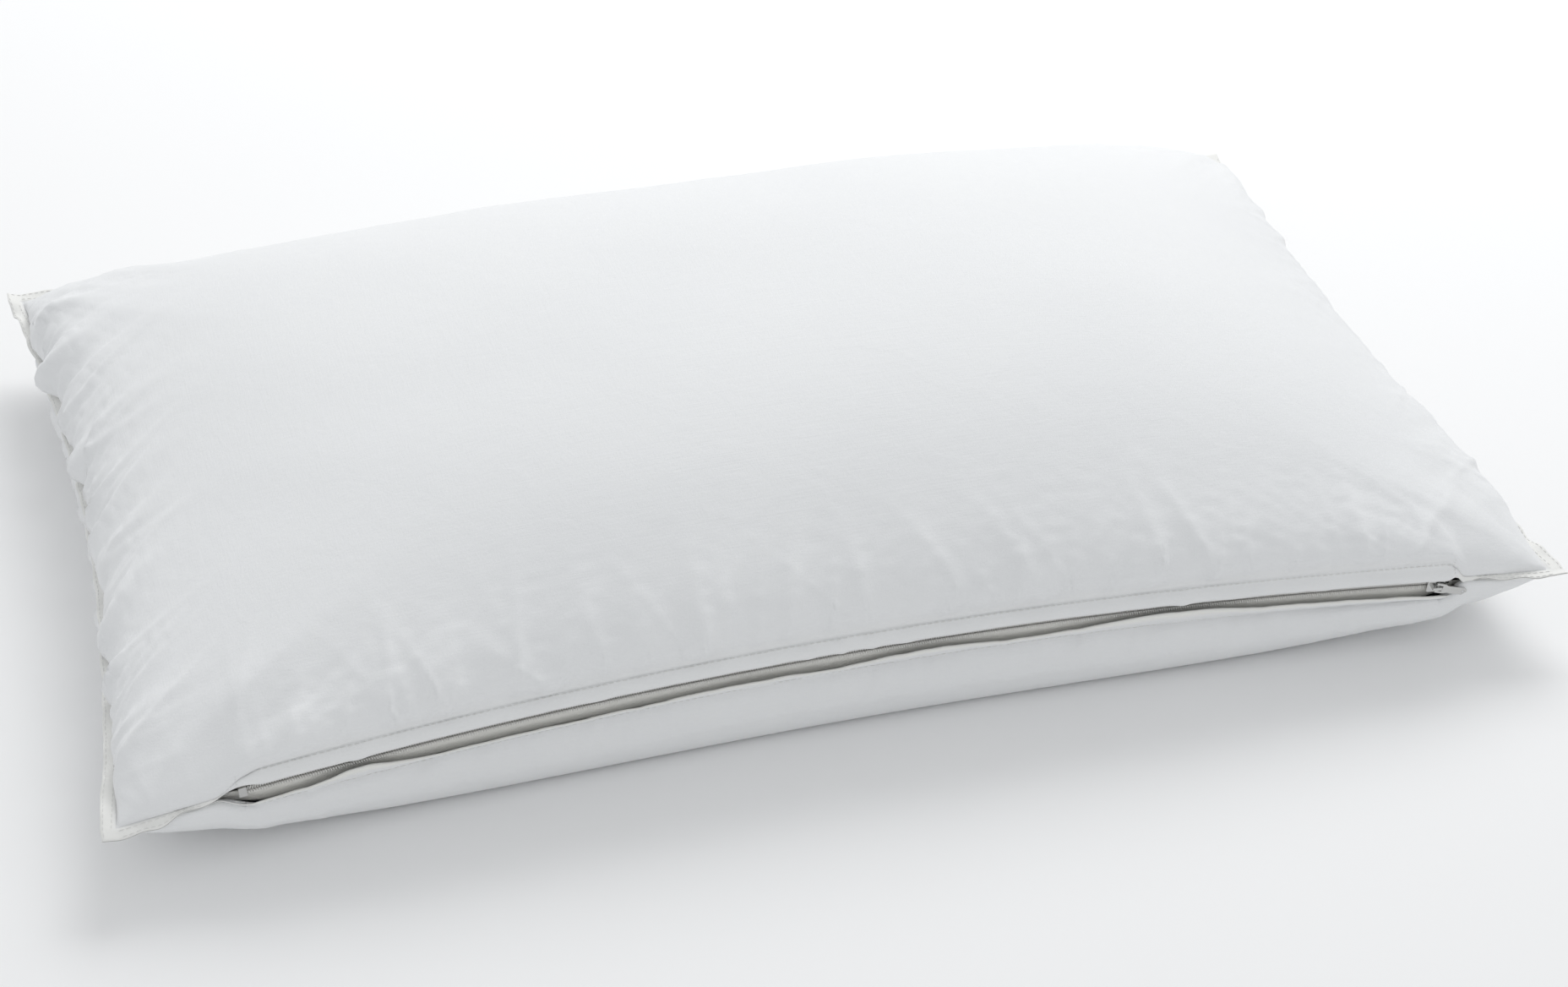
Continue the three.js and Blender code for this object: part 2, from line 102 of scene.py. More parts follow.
def openness(x):
    # 1 along the zip, falling to 0 at its two ends
    length = np.where(x < 0, zipLine["closing"][0], zipLine["closing"][1])
    return smoothStep((zipLine["halfLength"] + zipLine["pastEnd"] - np.abs(x)) / length)


def ripple(x, seed, waves, shortest, longest):
    # sum of sines of random length and phase, scaled to about -1 to 1
    rng = np.random.default_rng(seed)
    length = rng.uniform(shortest, longest, waves)
    phase = rng.uniform(0, 2 * np.pi, waves)
    parts = np.sin(2 * np.pi * x[..., None] / length + phase)
    return parts.sum(-1) / np.sqrt(waves * 1.2)


def gridFaces(rows, columns, flip=False, wrapColumns=False):
    # quads between neighbours of a rows x columns grid, as one array; wrapColumns closes each row
    index = np.arange(rows * columns).reshape(rows, columns)
    if wrapColumns:
        index = np.hstack([index, index[:, :1]])
    quads = np.stack([index[:-1, :-1], index[1:, :-1], index[1:, 1:], index[:-1, 1:]], -1).reshape(-1, 4)
    return quads[:, ::-1] if flip else quads


def makeMesh(name, points, quads, body, smooth=True):
    # points n x 3 and faces m x k become one object at the origin that rides on a body
    mesh = bpy.data.meshes.new(name)
    points = np.asarray(points, dtype=np.float32).reshape(-1, 3)
    quads = np.asarray(quads, dtype=np.int32)
    corners = quads.shape[1]
    mesh.vertices.add(len(points))
    mesh.vertices.foreach_set("co", points.ravel())
    mesh.loops.add(quads.size)
    mesh.loops.foreach_set("vertex_index", quads.ravel())
    mesh.polygons.add(len(quads))
    mesh.polygons.foreach_set("loop_start", np.arange(0, quads.size, corners, dtype=np.int32))
    mesh.update(calc_edges=True)
    mesh.polygons.foreach_set("use_smooth", np.full(len(quads), smooth))
    piece = bpy.data.objects.new(name, mesh)
    scene.collection.objects.link(piece)
    if body:
        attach(piece, body)
    return piece


def dress(piece, material, node):
    # what the piece is made of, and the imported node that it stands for
    piece.data.materials.append(material)
    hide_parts(node)


def paintValue(piece, name, values):
    # one number for each vertex, which a material reads by this name
    layer = piece.data.attributes.new(name, "FLOAT", "POINT")
    layer.data.foreach_set("value", np.asarray(values, dtype=np.float32).ravel())


def paintMap(piece, across, along):
    # the piece's own map: two lengths in metres for each vertex
    layer = piece.data.uv_layers.new(name="clothMap")
    index = np.empty(len(piece.data.loops), dtype=np.int32)
    piece.data.loops.foreach_get("vertex_index", index)
    pairs = np.stack([across.ravel(), along.ravel()], -1)[index]
    layer.data.foreach_set("uv", pairs.astype(np.float32).ravel())


def newMaterial(name):
    # an empty material with one Principled shader joined to its output
    material = bpy.data.materials.new(name)
    material.use_nodes = True
    tree = material.node_tree
    tree.nodes.clear()
    output = tree.nodes.new("ShaderNodeOutputMaterial")
    shader = tree.nodes.new("ShaderNodeBsdfPrincipled")
    tree.links.new(shader.outputs["BSDF"], output.inputs["Surface"])
    return material, tree, shader


def addNode(tree, kind, settings=None, inputs=None):
    # one shader node; an input is a value, or the socket that feeds it
    node = tree.nodes.new(kind)
    for key, value in (settings or {}).items():
        setattr(node, key, value)
    for key, value in (inputs or {}).items():
        if isinstance(value, bpy.types.NodeSocket):
            tree.links.new(value, node.inputs[key])
        else:
            node.inputs[key].default_value = value
    return node


def mathNode(tree, operation, first, second=0.0, third=None):
    # the result of one sum on two or three numbers or sockets
    inputs = {0: first, 1: second}
    if third is not None:
        inputs[2] = third
    return addNode(tree, "ShaderNodeMath", {"operation": operation}, inputs).outputs[0]


def mixColour(tree, share, first, second):
    # first * (1 - share) + second * share
    node = addNode(tree, "ShaderNodeMix", {"data_type": "RGBA"})
    for key, value in ((0, share), (6, first), (7, second)):
        if isinstance(value, bpy.types.NodeSocket):
            tree.links.new(value, node.inputs[key])
        else:
            node.inputs[key].default_value = value
    return node.outputs[2]


clothFinish = {
    "white": (0.850, 0.856, 0.858, 1),
    "cream": (0.870, 0.862, 0.820, 1),
    "shade": (0.800, 0.808, 0.816, 1),
    "roughness": 0.78,
    "sheen": 0.22,
    "sheenRoughness": 0.45,
    "specular": 0.35,
    "threadPitch": 0.00042,
    "threadDepth": 0.00003,
    "slubStretch": (9.0, 260.0),   # noise scale along and across a slub
    "slubScale": 4.0,
    "slubDepth": 0.00022,
    "creaseScale": 34.0,
    "creaseTwist": 0.9,
    "creaseDepth": 0.00060,
    "patchScale": 5.0,             # soft change of white
}
tickingFinish = dict(clothFinish, white=(0.80, 0.79, 0.76, 1), cream=(0.80, 0.79, 0.76, 1),
                     shade=(0.74, 0.73, 0.70, 1), threadPitch=0.0006, creaseDepth=0.0008)


def clothMaterial(name, finish):
    # plain weave on object coordinates: two crossed thread waves, long slubs in each thread
    # direction, faint ironing creases and a soft change of white over the piece
    material, tree, shader = newMaterial(name)
    place = addNode(tree, "ShaderNodeTexCoord").outputs["Object"]
    pick = addNode(tree, "ShaderNodeSeparateXYZ", inputs={0: place})
    turns = 2 * np.pi / finish["threadPitch"]
    warp = mathNode(tree, "SINE", mathNode(tree, "MULTIPLY", pick.outputs[0], turns))
    weft = mathNode(tree, "SINE", mathNode(tree, "MULTIPLY", pick.outputs[1], turns))
    weave = mathNode(tree, "MULTIPLY", warp, weft)
    slubs = []
    long, short = finish["slubStretch"]
    for stretch in ((long, short, short), (short, long, short)):
        longWay = addNode(tree, "ShaderNodeMapping", inputs={"Vector": place, "Scale": stretch})
        noise = addNode(tree, "ShaderNodeTexNoise",
                        inputs={"Vector": longWay.outputs[0], "Scale": finish["slubScale"],
                                "Detail": 3.0, "Roughness": 0.6})
        slubs.append(noise.outputs[0])
    slub = mathNode(tree, "ADD", slubs[0], slubs[1])
    wide = addNode(tree, "ShaderNodeTexNoise",
                   inputs={"Vector": place, "Scale": finish["patchScale"], "Detail": 3.0})
    warped = addNode(tree, "ShaderNodeTexNoise",
                     inputs={"Vector": place, "Scale": finish["creaseScale"], "Detail": 5.0,
                             "Roughness": 0.62, "Distortion": finish["creaseTwist"]})
    weaveBump = addNode(tree, "ShaderNodeBump", inputs={"Strength": 0.6, "Distance": finish["threadDepth"],
                                                        "Height": weave})
    slubBump = addNode(tree, "ShaderNodeBump", inputs={"Strength": 0.6, "Distance": finish["slubDepth"],
                                                       "Height": slub, "Normal": weaveBump.outputs[0]})
    creaseBump = addNode(tree, "ShaderNodeBump", inputs={"Strength": 0.7, "Distance": finish["creaseDepth"],
                                                         "Height": warped.outputs[0],
                                                         "Normal": slubBump.outputs[0]})
    edge = addNode(tree, "ShaderNodeAttribute", {"attribute_name": "edgeTint"}).outputs["Fac"]
    patchy = mathNode(tree, "MULTIPLY_ADD", wide.outputs[0], 1.6, -0.45)
    colour = mixColour(tree, patchy, finish["white"], finish["shade"])
    threadShare = mathNode(tree, "MULTIPLY_ADD", slub, 0.5, -0.32)
    colour = mixColour(tree, threadShare, colour, finish["shade"])
    colour = mixColour(tree, edge, colour, finish["cream"])
    tree.links.new(colour, shader.inputs["Base Color"])
    tree.links.new(creaseBump.outputs[0], shader.inputs["Normal"])
    shader.inputs["Roughness"].default_value = finish["roughness"]
    shader.inputs["Sheen Weight"].default_value = finish["sheen"]
    shader.inputs["Sheen Roughness"].default_value = finish["sheenRoughness"]
    shader.inputs["Specular IOR Level"].default_value = finish["specular"]
    return material


cottonCover = clothMaterial("cottonCambric", clothFinish)
casingTicking = clothMaterial("casingTicking", tickingFinish)


def simpleMaterial(name, colour, roughness, metallic=0.0, bumpScale=900.0, bumpDepth=0.00004, vary=0.06,
                   sheen=0.0):
    # one colour with a fine noise in tone, roughness and relief
    material, tree, shader = newMaterial(name)
    place = addNode(tree, "ShaderNodeTexCoord").outputs["Object"]
    noise = addNode(tree, "ShaderNodeTexNoise", inputs={"Vector": place, "Scale": bumpScale, "Detail": 3.0})
    bump = addNode(tree, "ShaderNodeBump", inputs={"Strength": 0.5, "Distance": bumpDepth,
                                                   "Height": noise.outputs[0]})
    darker = tuple(c * (1 - 2 * vary) for c in colour[:3]) + (1,)
    tree.links.new(mixColour(tree, noise.outputs[0], colour, darker), shader.inputs["Base Color"])
    rough = mathNode(tree, "MULTIPLY_ADD", noise.outputs[0], 0.12, roughness - 0.06)
    tree.links.new(rough, shader.inputs["Roughness"])
    tree.links.new(bump.outputs[0], shader.inputs["Normal"])
    shader.inputs["Metallic"].default_value = metallic
    shader.inputs["Sheen Weight"].default_value = sheen
    return material


threadWhite = simpleMaterial("sewingThread", (0.80, 0.80, 0.78, 1), 0.55, bumpScale=2600.0, sheen=0.2)
nickel = simpleMaterial("nickelPlate", (0.62, 0.62, 0.61, 1), 0.22, metallic=1.0, bumpScale=420.0,
                        bumpDepth=0.00001, vary=0.03)
coilNylon = simpleMaterial("coilNylon", (0.90, 0.89, 0.86, 1), 0.36, bumpScale=1500.0, bumpDepth=0.00001)
fibreFill = simpleMaterial("fibreFill", (0.86, 0.86, 0.85, 1), 0.95, bumpScale=90.0, bumpDepth=0.002,
                           sheen=0.5)

tapeFinish = {
    # the tape's colour runs between these two with each rib's relief: painted shade in the grooves and
    # painted highlight on the crests
    "dark": (0.80, 0.79, 0.74, 1),
    "light": (0.90, 0.89, 0.85, 1),
    "ribPitch": 0.0009,
    "ribDepth": 0.0001,
    "foldWidth": 0.0014,       # the ribs change direction this often across the tape
    "roughness": 0.8,
    "sheen": 0.15,
}


def tapeMaterial(name, finish):
    # herringbone twill: slanting ribs that change direction every few ribs across the tape. Each rib's colour
    # follows its relief, lighter on the crest and darker in the groove: painted light and shade.
    material, tree, shader = newMaterial(name)
    pick = addNode(tree, "ShaderNodeSeparateXYZ",
                   inputs={0: addNode(tree, "ShaderNodeUVMap", {"uv_map": "clothMap"}).outputs[0]})
    fold = mathNode(tree, "PINGPONG", pick.outputs[1], finish["foldWidth"])
    slant = mathNode(tree, "ADD", pick.outputs[0], fold)
    ribs = mathNode(tree, "SINE", mathNode(tree, "MULTIPLY", slant, 2 * np.pi / finish["ribPitch"]))
    bump = addNode(tree, "ShaderNodeBump",
                   inputs={"Strength": 0.8, "Distance": finish["ribDepth"], "Height": ribs})
    # painted light and shade on the ribs: the colour goes from dark to light with each rib's height
    share = mathNode(tree, "MULTIPLY_ADD", ribs, 0.3, 0.5)
    colour = mixColour(tree, share, finish["dark"], finish["light"])
    tree.links.new(colour, shader.inputs["Base Color"])
    tree.links.new(bump.outputs[0], shader.inputs["Normal"])
    shader.inputs["Roughness"].default_value = finish["roughness"]
    shader.inputs["Sheen Weight"].default_value = finish["sheen"]
    return material


zipTape = tapeMaterial("zipTapeTwill", tapeFinish)
print("materials made:", len(bpy.data.materials))

clothGrid = {
    "across": 153,             # points along the pillow, and from front to back
    "deep": 93,
    "spread": 0.8,             # how much closer together they are near the seams, 0 to 1
    "partingRows": 5.0,        # rows that follow a front row to its stitch line beside the zip
    "cornerRun": 4,            # powers of |u| and |v|: how close to the corner its lift stays,
    "swellRun": 8,             # and how close to the seam the push outwards stays
}
clothFeel = {
    "steps": 16, "pressure": 3.0, "mass": 0.9, "quality": 6, "airDamping": 2,
    "stretch": 40, "shear": 8, "bend": 0.02, "stretchDamping": 8, "bendDamping": 0.5,
    "slack": 1.012,            # cut cloth over finished cloth
    "unevenness": 0.00025,     # random start that lets the puckers choose their places
    "farthest": 0.0085,        # no point moves more than this
    "calmRows": 11.0,          # rows from the seam over which the move fades
    "calmRest": 0.10,          # share of the move that is left in the middle
    "cornerReach": 0.060,      # distance from a corner over which the move grows
    "floorFade": 0.030,        # height over the floor at which the underside moves freely
}


def panelShape():
    # plan: u and v from -1 to 1, closer together near the seams by a sine; the seam pulls in
    # between the corners by a parabola; height over the seam is ((1-|u|^a)(1-|v|^b))^c
    size = pillowSize
    quarter = clothGrid["spread"] * np.pi / 2
    u = (np.sin(np.linspace(-1, 1, clothGrid["across"]) * quarter) / np.sin(quarter))[:, None]
    v = (np.sin(np.linspace(-1, 1, clothGrid["deep"]) * quarter) / np.sin(quarter))[None, :]
    x = u * (size["seamHalfLength"] - size["endInset"] * (1 - v ** 2))
    arcSag = size["seamHalfLength"] ** 2 / (2 * zipLine["radius"])
    frontInset = arcSag * np.cos(zipLine["lean"])
    inset = np.where(v < 0, frontInset, size["backInset"])
    y = v * (size["seamHalfWidth"] - inset * (1 - u ** 2))
    lifts = size["cornerLift"]
    lift = np.where(u < 0, np.where(v < 0, lifts[0], lifts[1]), np.where(v < 0, lifts[2], lifts[3]))
    lift = lift * (np.abs(u) * np.abs(v)) ** clothGrid["cornerRun"]
    seam = (size["seamHeight"] + size["seamRise"] * (1 - v ** 2)
            - arcSag * np.sin(zipLine["lean"]) * u ** 2 + lift)
    crown = np.clip((1 - np.abs(u) ** size["endPower"]) * (1 - np.abs(v) ** size["sidePower"]), 0, 1)
    crown = crown ** size["crownPower"]
    rise = size["height"] - size["seamHeight"] - size["seamRise"]
    upper = np.stack(np.broadcast_arrays(x, y, seam + rise * crown), -1)
    under = np.maximum(size["floorGap"], seam - size["depth"] * crown)
    lower = np.stack(np.broadcast_arrays(x, y, under), -1)
    # the filling pushes the sides out past the seam, most where the crown is a third of its height
    run = clothGrid["swellRun"]
    for panel, push in ((upper, size["pushAbove"]), (lower, size["pushBelow"])):
        swell = push * 6.75 * crown * (1 - np.clip(crown, 0, 1)) ** 2   # 6.75 makes its peak 1
        panel[..., 0] += swell * np.sign(u) * np.abs(u) ** run
        panel[..., 1] += swell * np.sign(v) * np.abs(v) ** run
    # at the zip the two panels part: each front row moves to its own stitch line, and the rows
    # behind it follow less and less
    frontX = upper[:, 0, 0]
    fade = np.exp(-np.arange(clothGrid["deep"]) / clothGrid["partingRows"])[None, :, None]
    for panel, (inward, up) in ((upper, zipLine["flapSeam"]), (lower, zipLine["hemSeam"])):
        opened = openness(frontX)
        goal = chainPoint(frontX, inward * opened, up * opened)
        goal[:, 2] += lift[:, 0]
        shift = goal - panel[:, 0]
        panel += shift[:, None, :] * fade
    lower[..., 2] = np.maximum(lower[..., 2], size["floorGap"])
    for edge in ((0, slice(None)), (-1, slice(None)), (slice(None), -1)):
        middle = (upper[edge] + lower[edge]) / 2
        upper[edge] = lower[edge] = middle
    return upper, lower


def flatPattern(panel):
    # the cut cloth: a flat rectangle whose spacing is the arc length along the panel's two middles
    along = arcLength(panel[:, panel.shape[1] // 2])
    across = arcLength(panel[panel.shape[0] // 2])
    a, b = np.meshgrid(along - along[-1] / 2, across - across[-1] / 2, indexing="ij")
    return np.stack([a, b, np.zeros_like(a)], -1) * clothFeel["slack"]


def settleCloth(panel, facesDown, seed):
    # one panel sewn down along its rim, cut larger than its rim, under the filling's pressure:
    # the spare cloth gathers into puckers at the seams. No point moves farther than the limit.
    rows, columns = panel.shape[:2]
    feel = clothFeel
    rng = np.random.default_rng(seed)
    noise = rng.normal(0, feel["unevenness"], panel.shape)
    rim = np.ones((rows, columns), bool)
    rim[1:-1, 1:-1] = False
    noise[rim] = 0
    piece = makeMesh("clothTrial", panel + noise, gridFaces(rows, columns, facesDown), None)
    piece.shape_key_add(name="Basis")
    cut = piece.shape_key_add(name="cut")
    cut.data.foreach_set("co", flatPattern(panel).ravel().astype(np.float32))
    cut.value = 0
    group = piece.vertex_groups.new(name="sewn")
    group.add([int(i) for i in np.nonzero(rim.ravel())[0]], 1.0, "REPLACE")
    cloth = piece.modifiers.new("Cloth", "CLOTH")
    setting = cloth.settings
    setting.rest_shape_key = cut
    setting.vertex_group_mass = "sewn"
    setting.quality = feel["quality"]
    setting.mass = feel["mass"] / panel[..., 0].size
    setting.tension_stiffness = setting.compression_stiffness = feel["stretch"]
    setting.shear_stiffness = feel["shear"]
    setting.bending_stiffness = feel["bend"]
    setting.tension_damping = setting.compression_damping = setting.shear_damping = feel["stretchDamping"]
    setting.bending_damping = feel["bendDamping"]
    setting.air_damping = feel["airDamping"]
    setting.use_pressure = True
    setting.uniform_pressure_force = feel["pressure"]
    setting.effector_weights.gravity = 0
    cloth.collision_settings.use_collision = False
    cloth.point_cache.frame_start = 1
    cloth.point_cache.frame_end = feel["steps"]
    scene.frame_start, scene.frame_end = 1, feel["steps"]
    for step in range(1, feel["steps"] + 1):
        scene.frame_set(step)
    settled = piece.evaluated_get(bpy.context.evaluated_depsgraph_get())
    points = np.empty(rows * columns * 3, dtype=np.float32)
    settled.data.vertices.foreach_get("co", points)
    scene.frame_set(1)
    bpy.data.objects.remove(piece)
    move = points.reshape(panel.shape).astype(float) - panel
    far = np.linalg.norm(move, axis=-1, keepdims=True)
    limit = feel["farthest"]
    move *= np.where(far > 1e-9, limit * np.tanh(far / limit) / np.maximum(far, 1e-9), 1)
    # the full middle stays smooth: the move fades with the distance from the nearest seam
    depth = np.minimum(np.minimum(np.arange(rows), np.arange(rows)[::-1])[:, None],
                       np.minimum(np.arange(columns), np.arange(columns)[::-1])[None, :])
    rest = feel["calmRest"]
    move *= (rest + (1 - rest) * np.exp(-(depth / feel["calmRows"]) ** 2))[..., None]
    move *= calmShare(panel, feel["cornerReach"])[..., None]
    if facesDown:
        move *= smoothStep(panel[..., 2] / feel["floorFade"])[..., None]
    print("cloth settled, farthest point moved", round(float(far.max()) * 1000, 1), "mm")
    return panel + move


def finer(panel, times):
    # Catmull-Rom through the grid's points, first along its rows and then along its columns
    for axis in (0, 1):
        grid = np.moveaxis(panel, axis, 0)
        count = len(grid)
        padded = np.concatenate([2 * grid[:1] - grid[1:2], grid, 2 * grid[-1:] - grid[-2:-1]])
        where = np.arange((count - 1) * times + 1) / times
        cell = np.minimum(where.astype(int), count - 2)
        t = (where - cell).reshape((-1,) + (1,) * (grid.ndim - 1))
        a, b, c, d = (padded[cell + k] for k in range(4))
        grid = 0.5 * (2 * b + (c - a) * t + (2 * a - 5 * b + 4 * c - d) * t ** 2
                      + (3 * b - a - 3 * c + d) * t ** 3)
        panel = np.moveaxis(grid, 0, axis)
    return panel


def normalsOf(panel, facesDown):
    # cross product of the two grid directions, pointing out of the pillow
    normal = unit(np.cross(np.gradient(panel, axis=0), np.gradient(panel, axis=1)))
    return -normal if facesDown else normal


puckers = {
    # for each side: how many, height, half width, length, slant, and how far it leans at random
    "front": (120, 0.00185, 0.0028, 0.036, 0.08, 0.35),
    "back": (80, 0.00100, 0.0034, 0.034, 0.0, 0.45),
    "left": (130, 0.00230, 0.0025, 0.036, 0.45, 0.30),
    "right": (70, 0.00100, 0.0030, 0.034, -0.30, 0.40),
    "frontFolds": (26, 0.0031, 0.0050, 0.034, 0.10, 0.35),
    "leftFolds": (20, 0.0036, 0.0046, 0.042, 0.50, 0.28),
    "rightFolds": (10, 0.0011, 0.0060, 0.042, -0.35, 0.35),
    "backFolds": (13, 0.0018, 0.0075, 0.045, 0.0, 0.4),
}
puckerShape = {
    "height": (0.35, 1.25),    # lowest and highest share of the sizes above
    "width": (0.6, 1.5),
    "length": (0.4, 1.5),
    "curve": 1.2,
    "start": 0.006,            # distance from the seam over which a pucker rises
    "reach": (0.37, 0.225),    # how far they lie from the middle along the long and short seams
    "underside": 0.45,         # height below, as a share of that above
}
cornerFolds = {
    "count": 5, "height": 0.0075, "width": 0.0085, "length": 0.100, "start": 0.034, "widening": 0.08,
    "firstRay": 12, "fan": 66,   # degrees from the seam
}
calmSpots = {"strength": 0.9, "zipShare": 0.55, "zipInset": 0.002, "reach": 0.045}


def calmShare(panel, reach):
    # 0.1 at the four corners and at the two ends of the zip, rising to 1 within a few centimetres
    share = np.ones(panel.shape[:2])
    corners = [panel[i, j] for i in (0, -1) for j in (0, -1)]
    ends = chainPoint(np.array([-1.0, 1.0]) * (zipLine["halfLength"] - calmSpots["zipInset"]), 0.0, 0.0)
    zipReach = reach * calmSpots["zipShare"]
    for spot, wide in [(c, reach) for c in corners] + [(e, zipReach) for e in ends]:
        distance = np.hypot(panel[..., 0] - spot[0], panel[..., 1] - spot[1])
        share *= 1 - calmSpots["strength"] * np.exp(-(distance / wide) ** 2)
    return share


def puckerHeight(panel, seed, strength):
    # each pucker is a ridge that starts at the seam: exp(-(across/width)^2) across it, rising
    # over its first few millimetres and dying away by exp(-(distance/length)^2)
    rng = np.random.default_rng(seed)
    stepX = np.linalg.norm(np.diff(panel, axis=0), axis=-1)
    stepY = np.linalg.norm(np.diff(panel, axis=1), axis=-1)
    fromLeft = np.vstack([np.zeros((1, panel.shape[1])), np.cumsum(stepX, 0)])
    fromFront = np.hstack([np.zeros((panel.shape[0], 1)), np.cumsum(stepY, 1)])
    fromRight = fromLeft[-1:] - fromLeft
    fromBack = fromFront[:, -1:] - fromFront
    shape = puckerShape
    longReach, shortReach = shape["reach"]
    sides = {"front": (panel[..., 0], fromFront, longReach), "back": (panel[..., 0], fromBack, longReach),
             "left": (panel[..., 1], fromLeft, shortReach), "right": (panel[..., 1], fromRight, shortReach)}
    height = np.zeros(panel.shape[:2])
    for name, (count, tall, width, length, slant, scatter) in puckers.items():
        along, away, reach = sides[name.replace("Folds", "")]
        starts = rng.uniform(-reach, reach, count)
        for k in range(count):
            lean = slant + rng.normal(0, scatter)
            high = tall * rng.uniform(*shape["height"])
            wide = width * rng.uniform(*shape["width"])
            far = length * rng.uniform(*shape["length"])
            curve = rng.normal(0, shape["curve"])
            offset = (along - starts[k] - lean * away - curve * away ** 2) / (wide * (1 + away / far * 0.6))
            grow = 1 - np.exp(-(away / shape["start"]) ** 2)
            height += high * np.exp(-np.abs(offset) ** 1.6) * grow * np.exp(-(away / far) ** 2)
    # folds that fan out from each corner, along rays between its two seams
    size = cornerFolds
    for cornerX, cornerY in ((0, 0), (0, -1), (-1, 0), (-1, -1)):
        start = panel[cornerX, cornerY]
        dx = (panel[..., 0] - start[0]) * (1 if cornerX == 0 else -1)
        dy = (panel[..., 1] - start[1]) * (1 if cornerY == 0 else -1)
        distance = np.hypot(dx, dy)
        turn = np.arctan2(dy, dx)
        for k in range(size["count"]):
            place = (k + rng.uniform(-0.3, 0.3)) / (size["count"] - 1)
            ray = np.radians(size["firstRay"] + size["fan"] * place)
            high = size["height"] * rng.uniform(0.4, 1.1)
            far = size["length"] * rng.uniform(0.5, 1.3)
            wide = size["width"] * rng.uniform(0.7, 1.3) * (0.5 + distance / size["widening"])
            offset = distance * np.sin(turn - ray - rng.normal(0, 0.6) * distance) / wide
            grow = 1 - np.exp(-(distance / size["start"]) ** 2)
            height += high * np.exp(-np.abs(offset) ** 1.7) * grow * np.exp(-(distance / far) ** 2)
    return height * strength


dishSize = {"count": 46, "reach": (0.36, 0.21), "width": (0.04, 0.095), "depth": 0.0012, "narrow": 0.5}


def dishes(panel, seed):
    # broad shallow unevenness of the filling: random oval hills and hollows, each
    # exp(-(a/width)^2 - (b/narrower width)^2) along its own two axes
    size = dishSize
    rng = np.random.default_rng(seed)
    height = np.zeros(panel.shape[:2])
    for k in range(size["count"]):
        dx = panel[..., 0] - rng.uniform(-size["reach"][0], size["reach"][0])
        dy = panel[..., 1] - rng.uniform(-size["reach"][1], size["reach"][1])
        wide = rng.uniform(*size["width"])
        deep = rng.uniform(-size["depth"], size["depth"])
        turn = rng.uniform(0, np.pi)
        a = dx * np.cos(turn) + dy * np.sin(turn)
        b = dy * np.cos(turn) - dx * np.sin(turn)
        height += deep * np.exp(-(a / wide) ** 2 - (b / (wide * size["narrow"])) ** 2)
    return height


upperBase, lowerBase = panelShape()
upper = settleCloth(upperBase, False, 11)
lower = settleCloth(lowerBase, True, 12)
fineness = {"upper": 3, "lower": 2}
upper, lower = finer(upper, fineness["upper"]), finer(lower, fineness["lower"])
for panel, facesDown, seed, strength in ((upper, False, 21, 1.0),
                                         (lower, True, 22, puckerShape["underside"])):
    bump = puckerHeight(panel, seed, strength) + dishes(panel, seed + 10)
    rimFade = np.ones(panel.shape[:2])
    rimFade[0] = rimFade[-1] = 0
    rimFade[:, 0] = rimFade[:, -1] = 0
    if facesDown:
        rimFade *= smoothStep(panel[..., 2] / clothFeel["floorFade"])
    calm = calmShare(panel, calmSpots["reach"])
    panel += normalsOf(panel, facesDown) * (bump * rimFade * calm)[..., None]
lower[..., 2] = np.maximum(lower[..., 2], pillowSize["floorGap"])
print("cover shaped:", upper.shape, "top", round(float(upper[..., 2].max()), 4))

# the edging: a flange on the closed sides, a flap above the zip and a hem below it
edging = {
    "width": 0.0078,             # flange beyond the seam
    "shares": (0.10, 0.30, 0.55, 0.80, 0.97, 1.0),
    "gap": (0.0009, 0.0007, 0.0006, 0.0006, 0.0005, 0.0001),   # half the space between the layers
    "sides": {                   # direction outwards, seed of its waves, places of its notches
        "left": ((-1.0, 0, 0.10), 31, (-0.10, -0.02, 0.06)),
        "right": ((1.0, 0, 0.05), 35, (0.04,)),
        "back": ((0, 1.0, 0.05), 39, (-0.2, 0.16)),
        "front": ((0, -1.0, -0.35), 43, ()),
    },
    "notchWidth": 0.0022,
    "wave": 0.0022,              # how far the flange waves up and down
    "frontShare": (0.10, 0.65),  # share of the flange's width at the zip's ends, and what corners add
    "frontGrow": (0.006, 0.040), # starts this far past the zip's end and takes this long
    # where the zip looks shut: middle, half length, share
    "pinches": ((0.172, 0.050, 1.0), (-0.262, 0.020, 0.9), (0.035, 0.035, 0.55), (-0.06, 0.05, 0.25),
                (0.21, 0.10, 0.40)),
    "pinchOut": (0.0021, 0.0004),    # how far the hem and the flap move out there,
    "pinchRise": 0.0064,             # and how far the hem rides up
    "sway": 0.0006, "tug": 0.0002,   # unevenness of both folded edges, outwards
    "flapSway": 0.0006, "flapTug": 0.00012,          # and of each up or down
    "hemDroop": 0.0010, "hemTug": 0.0002, "hemLoose": (0.35, 0.10, 0.25),
    # small pleats in the folded edge: middle, half length, depth
    "tucks": ((-0.262, 0.004, 0.0010), (-0.030, 0.003, 0.0009), (-0.012, 0.0025, 0.0012),
              (0.004, 0.003, 0.0010), (0.022, 0.004, 0.0008), (0.172, 0.004, 0.0012),
              (-0.14, 0.006, 0.0007), (0.25, 0.005, 0.0006)),
    # profiles of the folded edges, inward and up from the zip's middle line
    "flap": ((-0.0008, 0.0102), (-0.0024, 0.0087), (-0.0037, 0.0069), (-0.0043, 0.0055),
             (-0.0035, 0.0047), (-0.0012, 0.0062)),
    "hem": ((-0.0009, -0.0094), (-0.0016, -0.0082), (-0.0017, -0.0072), (-0.0010, -0.0066),
            (0.0002, -0.0074), (0.0008, -0.0120)),
}


